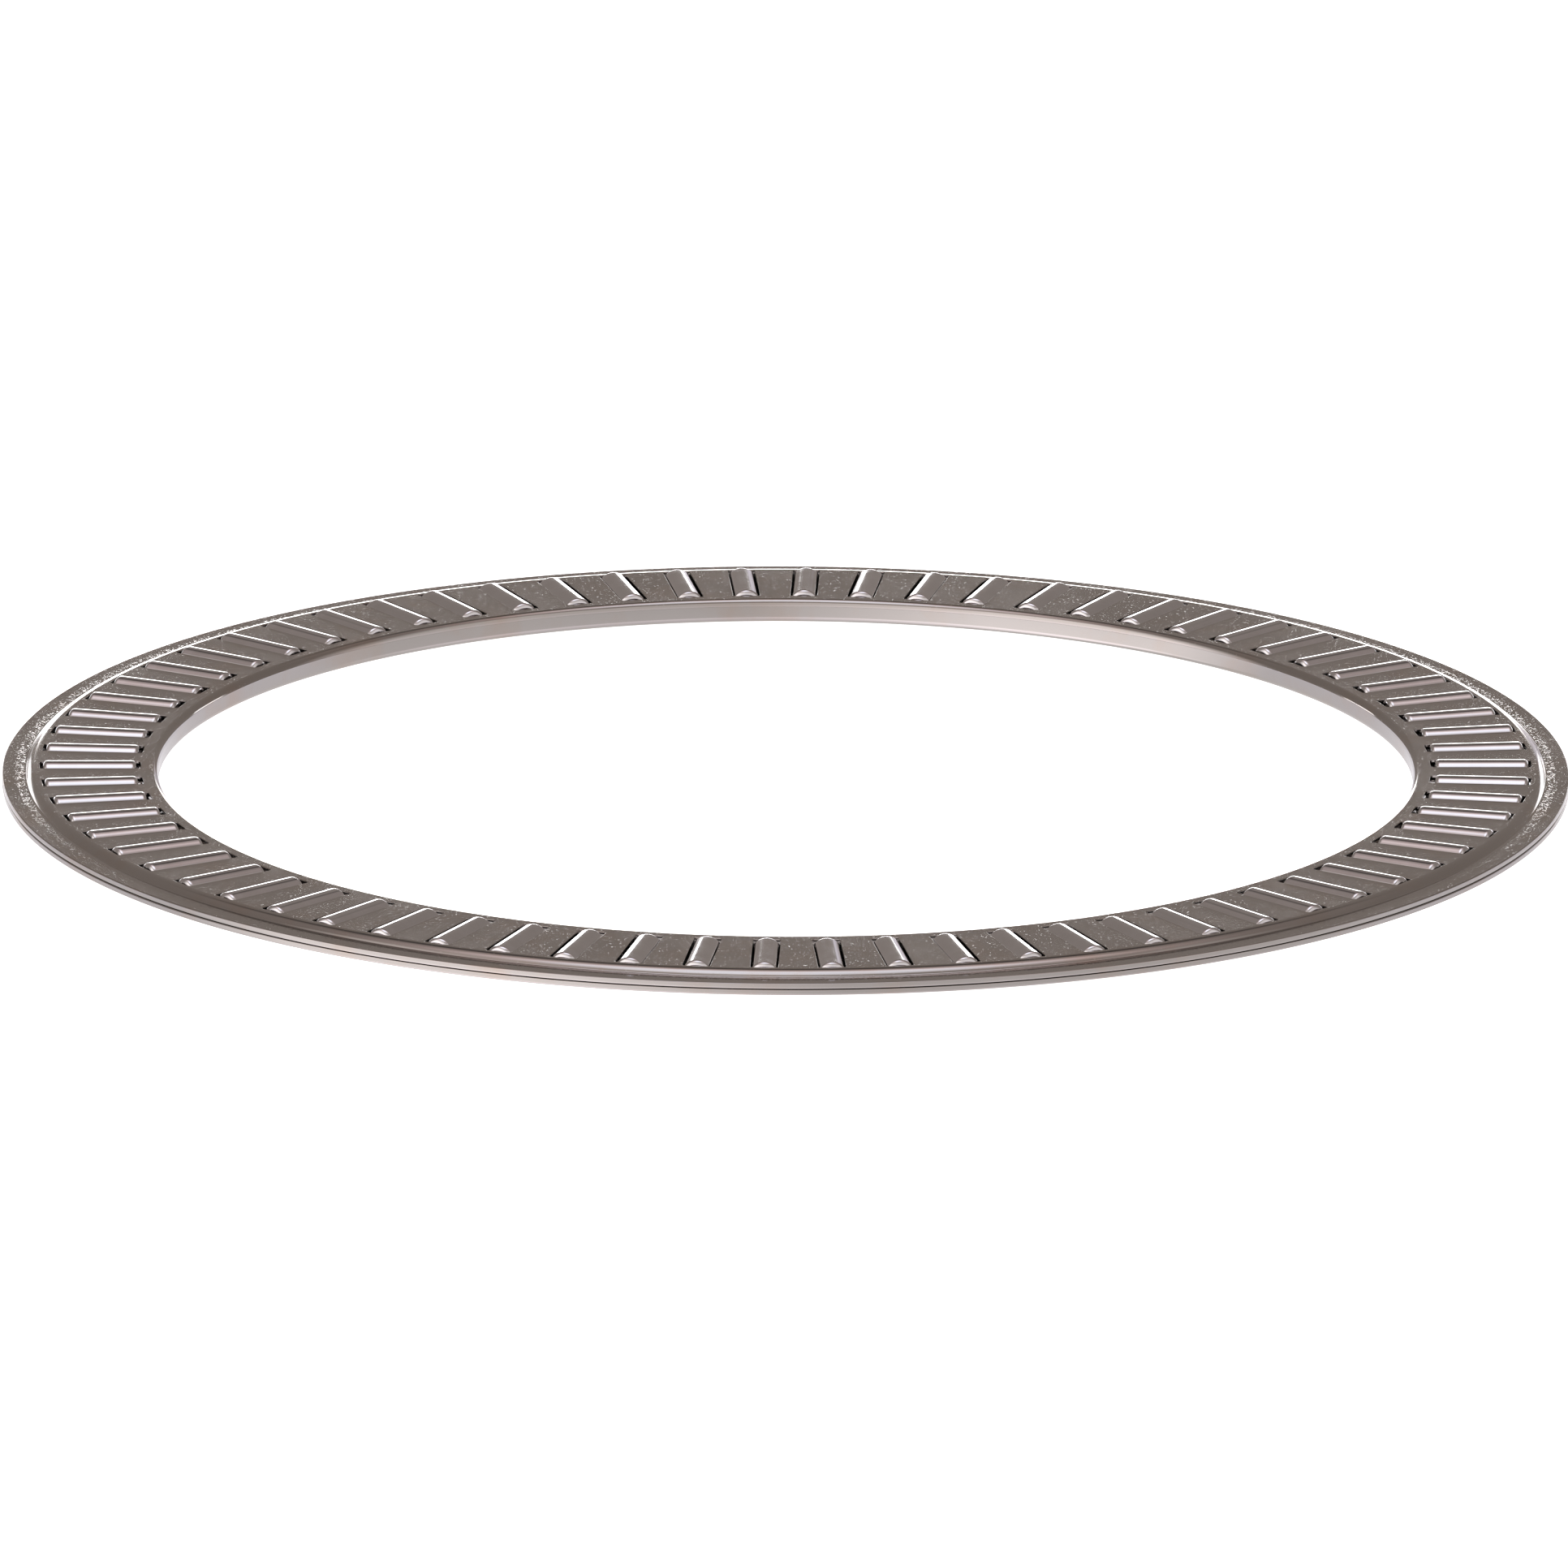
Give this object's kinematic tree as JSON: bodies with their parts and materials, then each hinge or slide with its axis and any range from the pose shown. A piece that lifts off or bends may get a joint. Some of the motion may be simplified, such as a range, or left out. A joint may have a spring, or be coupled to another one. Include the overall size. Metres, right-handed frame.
{
  "type": "thrust needle roller bearing",
  "caption": "Flat ring-shaped thrust bearing: needle rollers lie radially in the pockets of a flanged two-piece pressed steel cage around a wide open bore.",
  "frame": {"origin": "centre of the bearing: on its axis, in the plane where the two flanges meet", "axes": "+Z along the bearing's axis, out of the face on the rolled bore wall's rounded side; +X through the middle of the first needle roller"},
  "size_m": [0.1118, 0.112, 0.0022],
  "materials": {
    "cage_steel": "satin pressed steel strip, lightly scuffed",
    "roller_steel": "ground and polished hardened steel"
  },
  "bodies": {
    "cage": {"cage_upper_half": "cage_steel", "cage_lower_half": "cage_steel"},
    "roller_01": {"needle_roller_01": "roller_steel"},
    "roller_02": {"needle_roller_02": "roller_steel"},
    "roller_03": {"needle_roller_03": "roller_steel"},
    "roller_04": {"needle_roller_04": "roller_steel"},
    "roller_05": {"needle_roller_05": "roller_steel"},
    "roller_07": {"needle_roller_07": "roller_steel"},
    "roller_08": {"needle_roller_08": "roller_steel"},
    "roller_09": {"needle_roller_09": "roller_steel"},
    "roller_10": {"needle_roller_10": "roller_steel"},
    "roller_11": {"needle_roller_11": "roller_steel"},
    "roller_13": {"needle_roller_13": "roller_steel"},
    "roller_14": {"needle_roller_14": "roller_steel"},
    "roller_15": {"needle_roller_15": "roller_steel"},
    "roller_16": {"needle_roller_16": "roller_steel"},
    "roller_17": {"needle_roller_17": "roller_steel"},
    "roller_19": {"needle_roller_19": "roller_steel"},
    "roller_20": {"needle_roller_20": "roller_steel"},
    "roller_21": {"needle_roller_21": "roller_steel"},
    "roller_22": {"needle_roller_22": "roller_steel"},
    "roller_23": {"needle_roller_23": "roller_steel"},
    "roller_25": {"needle_roller_25": "roller_steel"},
    "roller_26": {"needle_roller_26": "roller_steel"},
    "roller_27": {"needle_roller_27": "roller_steel"},
    "roller_28": {"needle_roller_28": "roller_steel"},
    "roller_29": {"needle_roller_29": "roller_steel"},
    "roller_31": {"needle_roller_31": "roller_steel"},
    "roller_32": {"needle_roller_32": "roller_steel"},
    "roller_33": {"needle_roller_33": "roller_steel"},
    "roller_34": {"needle_roller_34": "roller_steel"},
    "roller_36": {"needle_roller_36": "roller_steel"},
    "roller_37": {"needle_roller_37": "roller_steel"},
    "roller_38": {"needle_roller_38": "roller_steel"},
    "roller_39": {"needle_roller_39": "roller_steel"},
    "roller_40": {"needle_roller_40": "roller_steel"},
    "roller_42": {"needle_roller_42": "roller_steel"},
    "roller_43": {"needle_roller_43": "roller_steel"},
    "roller_44": {"needle_roller_44": "roller_steel"},
    "roller_45": {"needle_roller_45": "roller_steel"},
    "roller_46": {"needle_roller_46": "roller_steel"},
    "roller_48": {"needle_roller_48": "roller_steel"},
    "roller_49": {"needle_roller_49": "roller_steel"},
    "roller_50": {"needle_roller_50": "roller_steel"},
    "roller_51": {"needle_roller_51": "roller_steel"},
    "roller_52": {"needle_roller_52": "roller_steel"},
    "roller_54": {"needle_roller_54": "roller_steel"},
    "roller_55": {"needle_roller_55": "roller_steel"},
    "roller_56": {"needle_roller_56": "roller_steel"},
    "roller_57": {"needle_roller_57": "roller_steel"},
    "roller_58": {"needle_roller_58": "roller_steel"},
    "roller_60": {"needle_roller_60": "roller_steel"},
    "roller_61": {"needle_roller_61": "roller_steel"},
    "roller_62": {"needle_roller_62": "roller_steel"},
    "roller_63": {"needle_roller_63": "roller_steel"},
    "roller_64": {"needle_roller_64": "roller_steel"},
    "roller_66": {"needle_roller_66": "roller_steel"},
    "roller_67": {"needle_roller_67": "roller_steel"},
    "roller_68": {"needle_roller_68": "roller_steel"},
    "roller_69": {"needle_roller_69": "roller_steel"}
  },
  "joints": [
    {"name": "roller_01_spin", "type": "hinge", "parent": "cage", "child": "roller_01", "pos_m": [0.0497, 0, 0], "axis": [1, 0, 0], "continuous": true},
    {"name": "roller_02_spin", "type": "hinge", "parent": "cage", "child": "roller_02", "pos_m": [0.0495, 0.00446, 0], "axis": [0.996, 0.0896, 0], "continuous": true},
    {"name": "roller_03_spin", "type": "hinge", "parent": "cage", "child": "roller_03", "pos_m": [0.0489, 0.00887, 0], "axis": [0.9839, 0.1786, 0], "continuous": true},
    {"name": "roller_04_spin", "type": "hinge", "parent": "cage", "child": "roller_04", "pos_m": [0.04791, 0.01322, 0], "axis": [0.964, 0.266, 0], "continuous": true},
    {"name": "roller_05_spin", "type": "hinge", "parent": "cage", "child": "roller_05", "pos_m": [0.04653, 0.01746, 0], "axis": [0.9362, 0.3514, 0], "continuous": true},
    {"name": "roller_07_spin", "type": "hinge", "parent": "cage", "child": "roller_07", "pos_m": [0.04266, 0.02549, 0], "axis": [0.8584, 0.5129, 0], "continuous": true},
    {"name": "roller_08_spin", "type": "hinge", "parent": "cage", "child": "roller_08", "pos_m": [0.04021, 0.02921, 0], "axis": [0.809, 0.5878, 0], "continuous": true},
    {"name": "roller_09_spin", "type": "hinge", "parent": "cage", "child": "roller_09", "pos_m": [0.03743, 0.0327, 0], "axis": [0.7531, 0.6579, 0], "continuous": true},
    {"name": "roller_10_spin", "type": "hinge", "parent": "cage", "child": "roller_10", "pos_m": [0.03435, 0.03592, 0], "axis": [0.6911, 0.7228, 0], "continuous": true},
    {"name": "roller_11_spin", "type": "hinge", "parent": "cage", "child": "roller_11", "pos_m": [0.03099, 0.03886, 0], "axis": [0.6235, 0.7818, 0], "continuous": true},
    {"name": "roller_13_spin", "type": "hinge", "parent": "cage", "child": "roller_13", "pos_m": [0.02355, 0.04377, 0], "axis": [0.4739, 0.8806, 0], "continuous": true},
    {"name": "roller_14_spin", "type": "hinge", "parent": "cage", "child": "roller_14", "pos_m": [0.01953, 0.0457, 0], "axis": [0.393, 0.9195, 0], "continuous": true},
    {"name": "roller_15_spin", "type": "hinge", "parent": "cage", "child": "roller_15", "pos_m": [0.01536, 0.04727, 0], "axis": [0.309, 0.9511, 0], "continuous": true},
    {"name": "roller_16_spin", "type": "hinge", "parent": "cage", "child": "roller_16", "pos_m": [0.01106, 0.04845, 0], "axis": [0.2225, 0.9749, 0], "continuous": true},
    {"name": "roller_17_spin", "type": "hinge", "parent": "cage", "child": "roller_17", "pos_m": [0.00667, 0.04925, 0], "axis": [0.1342, 0.9909, 0], "continuous": true},
    {"name": "roller_19_spin", "type": "hinge", "parent": "cage", "child": "roller_19", "pos_m": [-0.00223, 0.04965, 0], "axis": [-0.0449, 0.999, 0], "continuous": true},
    {"name": "roller_20_spin", "type": "hinge", "parent": "cage", "child": "roller_20", "pos_m": [-0.00667, 0.04925, 0], "axis": [-0.1342, 0.9909, 0], "continuous": true},
    {"name": "roller_21_spin", "type": "hinge", "parent": "cage", "child": "roller_21", "pos_m": [-0.01106, 0.04845, 0], "axis": [-0.2225, 0.9749, 0], "continuous": true},
    {"name": "roller_22_spin", "type": "hinge", "parent": "cage", "child": "roller_22", "pos_m": [-0.01536, 0.04727, 0], "axis": [-0.309, 0.9511, 0], "continuous": true},
    {"name": "roller_23_spin", "type": "hinge", "parent": "cage", "child": "roller_23", "pos_m": [-0.01953, 0.0457, 0], "axis": [-0.393, 0.9195, 0], "continuous": true},
    {"name": "roller_25_spin", "type": "hinge", "parent": "cage", "child": "roller_25", "pos_m": [-0.02738, 0.04148, 0], "axis": [-0.5509, 0.8346, 0], "continuous": true},
    {"name": "roller_26_spin", "type": "hinge", "parent": "cage", "child": "roller_26", "pos_m": [-0.03099, 0.03886, 0], "axis": [-0.6235, 0.7818, 0], "continuous": true},
    {"name": "roller_27_spin", "type": "hinge", "parent": "cage", "child": "roller_27", "pos_m": [-0.03435, 0.03592, 0], "axis": [-0.6911, 0.7228, 0], "continuous": true},
    {"name": "roller_28_spin", "type": "hinge", "parent": "cage", "child": "roller_28", "pos_m": [-0.03743, 0.0327, 0], "axis": [-0.7531, 0.6579, 0], "continuous": true},
    {"name": "roller_29_spin", "type": "hinge", "parent": "cage", "child": "roller_29", "pos_m": [-0.04021, 0.02921, 0], "axis": [-0.809, 0.5878, 0], "continuous": true},
    {"name": "roller_31_spin", "type": "hinge", "parent": "cage", "child": "roller_31", "pos_m": [-0.04478, 0.02156, 0], "axis": [-0.901, 0.4339, 0], "continuous": true},
    {"name": "roller_32_spin", "type": "hinge", "parent": "cage", "child": "roller_32", "pos_m": [-0.04653, 0.01746, 0], "axis": [-0.9362, 0.3514, 0], "continuous": true},
    {"name": "roller_33_spin", "type": "hinge", "parent": "cage", "child": "roller_33", "pos_m": [-0.04791, 0.01322, 0], "axis": [-0.964, 0.266, 0], "continuous": true},
    {"name": "roller_34_spin", "type": "hinge", "parent": "cage", "child": "roller_34", "pos_m": [-0.0489, 0.00887, 0], "axis": [-0.9839, 0.1786, 0], "continuous": true},
    {"name": "roller_36_spin", "type": "hinge", "parent": "cage", "child": "roller_36", "pos_m": [-0.0497, 0, 0], "axis": [-1, 0, 0], "continuous": true},
    {"name": "roller_37_spin", "type": "hinge", "parent": "cage", "child": "roller_37", "pos_m": [-0.0495, -0.00446, 0], "axis": [-0.996, -0.0896, 0], "continuous": true},
    {"name": "roller_38_spin", "type": "hinge", "parent": "cage", "child": "roller_38", "pos_m": [-0.0489, -0.00887, 0], "axis": [-0.9839, -0.1786, 0], "continuous": true},
    {"name": "roller_39_spin", "type": "hinge", "parent": "cage", "child": "roller_39", "pos_m": [-0.04791, -0.01322, 0], "axis": [-0.964, -0.266, 0], "continuous": true},
    {"name": "roller_40_spin", "type": "hinge", "parent": "cage", "child": "roller_40", "pos_m": [-0.04653, -0.01746, 0], "axis": [-0.9362, -0.3514, 0], "continuous": true},
    {"name": "roller_42_spin", "type": "hinge", "parent": "cage", "child": "roller_42", "pos_m": [-0.04266, -0.02549, 0], "axis": [-0.8584, -0.5129, 0], "continuous": true},
    {"name": "roller_43_spin", "type": "hinge", "parent": "cage", "child": "roller_43", "pos_m": [-0.04021, -0.02921, 0], "axis": [-0.809, -0.5878, 0], "continuous": true},
    {"name": "roller_44_spin", "type": "hinge", "parent": "cage", "child": "roller_44", "pos_m": [-0.03743, -0.0327, 0], "axis": [-0.7531, -0.6579, 0], "continuous": true},
    {"name": "roller_45_spin", "type": "hinge", "parent": "cage", "child": "roller_45", "pos_m": [-0.03435, -0.03592, 0], "axis": [-0.6911, -0.7228, 0], "continuous": true},
    {"name": "roller_46_spin", "type": "hinge", "parent": "cage", "child": "roller_46", "pos_m": [-0.03099, -0.03886, 0], "axis": [-0.6235, -0.7818, 0], "continuous": true},
    {"name": "roller_48_spin", "type": "hinge", "parent": "cage", "child": "roller_48", "pos_m": [-0.02355, -0.04377, 0], "axis": [-0.4739, -0.8806, 0], "continuous": true},
    {"name": "roller_49_spin", "type": "hinge", "parent": "cage", "child": "roller_49", "pos_m": [-0.01953, -0.0457, 0], "axis": [-0.393, -0.9195, 0], "continuous": true},
    {"name": "roller_50_spin", "type": "hinge", "parent": "cage", "child": "roller_50", "pos_m": [-0.01536, -0.04727, 0], "axis": [-0.309, -0.9511, 0], "continuous": true},
    {"name": "roller_51_spin", "type": "hinge", "parent": "cage", "child": "roller_51", "pos_m": [-0.01106, -0.04845, 0], "axis": [-0.2225, -0.9749, 0], "continuous": true},
    {"name": "roller_52_spin", "type": "hinge", "parent": "cage", "child": "roller_52", "pos_m": [-0.00667, -0.04925, 0], "axis": [-0.1342, -0.9909, 0], "continuous": true},
    {"name": "roller_54_spin", "type": "hinge", "parent": "cage", "child": "roller_54", "pos_m": [0.00223, -0.04965, 0], "axis": [0.0449, -0.999, 0], "continuous": true},
    {"name": "roller_55_spin", "type": "hinge", "parent": "cage", "child": "roller_55", "pos_m": [0.00667, -0.04925, 0], "axis": [0.1342, -0.9909, 0], "continuous": true},
    {"name": "roller_56_spin", "type": "hinge", "parent": "cage", "child": "roller_56", "pos_m": [0.01106, -0.04845, 0], "axis": [0.2225, -0.9749, 0], "continuous": true},
    {"name": "roller_57_spin", "type": "hinge", "parent": "cage", "child": "roller_57", "pos_m": [0.01536, -0.04727, 0], "axis": [0.309, -0.9511, 0], "continuous": true},
    {"name": "roller_58_spin", "type": "hinge", "parent": "cage", "child": "roller_58", "pos_m": [0.01953, -0.0457, 0], "axis": [0.393, -0.9195, 0], "continuous": true},
    {"name": "roller_60_spin", "type": "hinge", "parent": "cage", "child": "roller_60", "pos_m": [0.02738, -0.04148, 0], "axis": [0.5509, -0.8346, 0], "continuous": true},
    {"name": "roller_61_spin", "type": "hinge", "parent": "cage", "child": "roller_61", "pos_m": [0.03099, -0.03886, 0], "axis": [0.6235, -0.7818, 0], "continuous": true},
    {"name": "roller_62_spin", "type": "hinge", "parent": "cage", "child": "roller_62", "pos_m": [0.03435, -0.03592, 0], "axis": [0.6911, -0.7228, 0], "continuous": true},
    {"name": "roller_63_spin", "type": "hinge", "parent": "cage", "child": "roller_63", "pos_m": [0.03743, -0.0327, 0], "axis": [0.7531, -0.6579, 0], "continuous": true},
    {"name": "roller_64_spin", "type": "hinge", "parent": "cage", "child": "roller_64", "pos_m": [0.04021, -0.02921, 0], "axis": [0.809, -0.5878, 0], "continuous": true},
    {"name": "roller_66_spin", "type": "hinge", "parent": "cage", "child": "roller_66", "pos_m": [0.04478, -0.02156, 0], "axis": [0.901, -0.4339, 0], "continuous": true},
    {"name": "roller_67_spin", "type": "hinge", "parent": "cage", "child": "roller_67", "pos_m": [0.04653, -0.01746, 0], "axis": [0.9362, -0.3514, 0], "continuous": true},
    {"name": "roller_68_spin", "type": "hinge", "parent": "cage", "child": "roller_68", "pos_m": [0.04791, -0.01322, 0], "axis": [0.964, -0.266, 0], "continuous": true},
    {"name": "roller_69_spin", "type": "hinge", "parent": "cage", "child": "roller_69", "pos_m": [0.0489, -0.00887, 0], "axis": [0.9839, -0.1786, 0], "continuous": true}
  ],
  "couplings": [
    {"joint": "roller_02_spin", "follows": "roller_01_spin", "ratio": 1},
    {"joint": "roller_03_spin", "follows": "roller_01_spin", "ratio": 1},
    {"joint": "roller_04_spin", "follows": "roller_01_spin", "ratio": 1},
    {"joint": "roller_05_spin", "follows": "roller_01_spin", "ratio": 1},
    {"joint": "roller_07_spin", "follows": "roller_01_spin", "ratio": 1},
    {"joint": "roller_08_spin", "follows": "roller_01_spin", "ratio": 1},
    {"joint": "roller_09_spin", "follows": "roller_01_spin", "ratio": 1},
    {"joint": "roller_10_spin", "follows": "roller_01_spin", "ratio": 1},
    {"joint": "roller_11_spin", "follows": "roller_01_spin", "ratio": 1},
    {"joint": "roller_13_spin", "follows": "roller_01_spin", "ratio": 1},
    {"joint": "roller_14_spin", "follows": "roller_01_spin", "ratio": 1},
    {"joint": "roller_15_spin", "follows": "roller_01_spin", "ratio": 1},
    {"joint": "roller_16_spin", "follows": "roller_01_spin", "ratio": 1},
    {"joint": "roller_17_spin", "follows": "roller_01_spin", "ratio": 1},
    {"joint": "roller_19_spin", "follows": "roller_01_spin", "ratio": 1},
    {"joint": "roller_20_spin", "follows": "roller_01_spin", "ratio": 1},
    {"joint": "roller_21_spin", "follows": "roller_01_spin", "ratio": 1},
    {"joint": "roller_22_spin", "follows": "roller_01_spin", "ratio": 1},
    {"joint": "roller_23_spin", "follows": "roller_01_spin", "ratio": 1},
    {"joint": "roller_25_spin", "follows": "roller_01_spin", "ratio": 1},
    {"joint": "roller_26_spin", "follows": "roller_01_spin", "ratio": 1},
    {"joint": "roller_27_spin", "follows": "roller_01_spin", "ratio": 1},
    {"joint": "roller_28_spin", "follows": "roller_01_spin", "ratio": 1},
    {"joint": "roller_29_spin", "follows": "roller_01_spin", "ratio": 1},
    {"joint": "roller_31_spin", "follows": "roller_01_spin", "ratio": 1},
    {"joint": "roller_32_spin", "follows": "roller_01_spin", "ratio": 1},
    {"joint": "roller_33_spin", "follows": "roller_01_spin", "ratio": 1},
    {"joint": "roller_34_spin", "follows": "roller_01_spin", "ratio": 1},
    {"joint": "roller_36_spin", "follows": "roller_01_spin", "ratio": 1},
    {"joint": "roller_37_spin", "follows": "roller_01_spin", "ratio": 1},
    {"joint": "roller_38_spin", "follows": "roller_01_spin", "ratio": 1},
    {"joint": "roller_39_spin", "follows": "roller_01_spin", "ratio": 1},
    {"joint": "roller_40_spin", "follows": "roller_01_spin", "ratio": 1},
    {"joint": "roller_42_spin", "follows": "roller_01_spin", "ratio": 1},
    {"joint": "roller_43_spin", "follows": "roller_01_spin", "ratio": 1},
    {"joint": "roller_44_spin", "follows": "roller_01_spin", "ratio": 1},
    {"joint": "roller_45_spin", "follows": "roller_01_spin", "ratio": 1},
    {"joint": "roller_46_spin", "follows": "roller_01_spin", "ratio": 1},
    {"joint": "roller_48_spin", "follows": "roller_01_spin", "ratio": 1},
    {"joint": "roller_49_spin", "follows": "roller_01_spin", "ratio": 1},
    {"joint": "roller_50_spin", "follows": "roller_01_spin", "ratio": 1},
    {"joint": "roller_51_spin", "follows": "roller_01_spin", "ratio": 1},
    {"joint": "roller_52_spin", "follows": "roller_01_spin", "ratio": 1},
    {"joint": "roller_54_spin", "follows": "roller_01_spin", "ratio": 1},
    {"joint": "roller_55_spin", "follows": "roller_01_spin", "ratio": 1},
    {"joint": "roller_56_spin", "follows": "roller_01_spin", "ratio": 1},
    {"joint": "roller_57_spin", "follows": "roller_01_spin", "ratio": 1},
    {"joint": "roller_58_spin", "follows": "roller_01_spin", "ratio": 1},
    {"joint": "roller_60_spin", "follows": "roller_01_spin", "ratio": 1},
    {"joint": "roller_61_spin", "follows": "roller_01_spin", "ratio": 1},
    {"joint": "roller_62_spin", "follows": "roller_01_spin", "ratio": 1},
    {"joint": "roller_63_spin", "follows": "roller_01_spin", "ratio": 1},
    {"joint": "roller_64_spin", "follows": "roller_01_spin", "ratio": 1},
    {"joint": "roller_66_spin", "follows": "roller_01_spin", "ratio": 1},
    {"joint": "roller_67_spin", "follows": "roller_01_spin", "ratio": 1},
    {"joint": "roller_68_spin", "follows": "roller_01_spin", "ratio": 1},
    {"joint": "roller_69_spin", "follows": "roller_01_spin", "ratio": 1}
  ]
}
